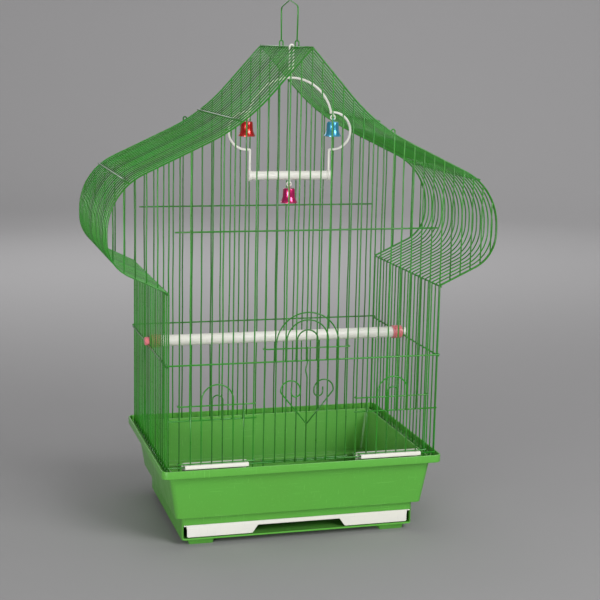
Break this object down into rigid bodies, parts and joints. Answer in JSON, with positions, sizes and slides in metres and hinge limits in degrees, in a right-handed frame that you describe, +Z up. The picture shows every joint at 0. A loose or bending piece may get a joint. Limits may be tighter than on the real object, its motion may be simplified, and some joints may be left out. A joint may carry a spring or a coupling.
{
  "type": "bird cage",
  "caption": "House-shaped wire bird cage with rounded shoulders on a plastic tub, with lifting doors, feed cups, perch, bell swing, litter drawer and a folding hanger.",
  "frame": {"origin": "on the floor under the middle of the cage", "axes": "+Z up, +X to the right of someone facing the doors, +Y from the doors to the back"},
  "size_m": [0.477, 0.263, 0.651],
  "materials": {
    "painted_wire": "green powder-coated steel wire",
    "tub_plastic": "bright green moulded plastic",
    "white_plastic": "white moulded plastic",
    "pink_plastic": "pink moulded plastic",
    "red_gloss": "glossy red lacquer",
    "blue_gloss": "glossy light blue lacquer",
    "magenta_gloss": "glossy magenta lacquer",
    "bell_steel": "plain steel wire and ball"
  },
  "bodies": {
    "cage": {"base_tub": "tub_plastic", "front_panel": "painted_wire", "back_panel": "painted_wire", "left_wall_and_roof": "painted_wire", "right_wall_and_roof": "painted_wire", "front_belt_rail": "painted_wire", "front_upper_rail": "painted_wire", "back_belt_rail": "painted_wire", "back_upper_rail": "painted_wire", "left_sill_rail": "painted_wire", "left_belt_rail": "painted_wire", "left_eave_rail": "painted_wire", "left_shoulder_rail": "painted_wire", "left_slope_rail": "painted_wire", "right_sill_rail": "painted_wire", "right_belt_rail": "painted_wire", "right_eave_rail": "painted_wire", "right_shoulder_rail": "painted_wire", "right_slope_rail": "painted_wire", "ridge_rail": "painted_wire", "front_foot_rail": "painted_wire", "feed_cup_left": "white_plastic", "feed_cup_right": "white_plastic", "perch_dowel": "white_plastic", "perch_collar_left": "pink_plastic", "perch_collar_right": "pink_plastic"},
    "litter_drawer": {"litter_drawer": "white_plastic"},
    "main_door": {"main_door": "painted_wire"},
    "feed_door_left": {"feed_door_left": "painted_wire"},
    "feed_door_right": {"feed_door_right": "painted_wire"},
    "swing": {"swing_frame": "white_plastic", "swing_bar": "white_plastic"},
    "hanger": {"hanger": "painted_wire"},
    "red_bell": {"red_bell_shell": "red_gloss", "red_bell_link": "white_plastic"},
    "red_bell_clapper": {"red_bell_clapper": "bell_steel"},
    "blue_bell": {"blue_bell_shell": "blue_gloss", "blue_bell_link": "white_plastic"},
    "blue_bell_clapper": {"blue_bell_clapper": "bell_steel"},
    "magenta_bell": {"magenta_bell_shell": "magenta_gloss", "magenta_bell_link": "white_plastic"},
    "magenta_bell_clapper": {"magenta_bell_clapper": "bell_steel"}
  },
  "joints": [
    {"name": "litter_drawer_slide", "type": "slide", "parent": "cage", "child": "litter_drawer", "axis": [0, -1, 0], "range_m": [0, 0.2]},
    {"name": "main_door_lift", "type": "slide", "parent": "cage", "child": "main_door", "axis": [0, 0, 1], "range_m": [0, 0.118]},
    {"name": "feed_door_left_lift", "type": "slide", "parent": "cage", "child": "feed_door_left", "axis": [0, 0, 1], "range_m": [0, 0.047]},
    {"name": "feed_door_right_lift", "type": "slide", "parent": "cage", "child": "feed_door_right", "axis": [0, 0, 1], "range_m": [0, 0.047]},
    {"name": "hanger_fold", "type": "hinge", "parent": "cage", "child": "hanger", "pos_m": [0, -0.0181, 0.5946], "axis": [0, 1, 0], "range_deg": [-130, 130]},
    {"name": "swing_hang", "type": "hinge", "parent": "cage", "child": "swing", "pos_m": [0, -0.03018, 0.597], "axis": [1, 0, 0], "range_deg": [-22, 25]},
    {"name": "red_bell_hang", "type": "hinge", "parent": "swing", "child": "red_bell", "pos_m": [-0.0543, -0.03018, 0.51285], "axis": [1, 0, 0], "range_deg": [-35, 35]},
    {"name": "red_bell_clapper_hang", "type": "hinge", "parent": "red_bell", "child": "red_bell_clapper", "pos_m": [-0.0543, -0.03018, 0.50135], "axis": [1, 0, 0], "range_deg": [-20, 20]},
    {"name": "blue_bell_hang", "type": "hinge", "parent": "swing", "child": "blue_bell", "pos_m": [0.0543, -0.03018, 0.51285], "axis": [1, 0, 0], "range_deg": [-35, 35]},
    {"name": "blue_bell_clapper_hang", "type": "hinge", "parent": "blue_bell", "child": "blue_bell_clapper", "pos_m": [0.0543, -0.03018, 0.50135], "axis": [1, 0, 0], "range_deg": [-20, 20]},
    {"name": "magenta_bell_hang", "type": "hinge", "parent": "swing", "child": "magenta_bell", "pos_m": [0, -0.03018, 0.43145], "axis": [1, 0, 0], "range_deg": [-35, 35]},
    {"name": "magenta_bell_clapper_hang", "type": "hinge", "parent": "magenta_bell", "child": "magenta_bell_clapper", "pos_m": [0, -0.03018, 0.41995], "axis": [1, 0, 0], "range_deg": [-20, 20]}
  ]
}
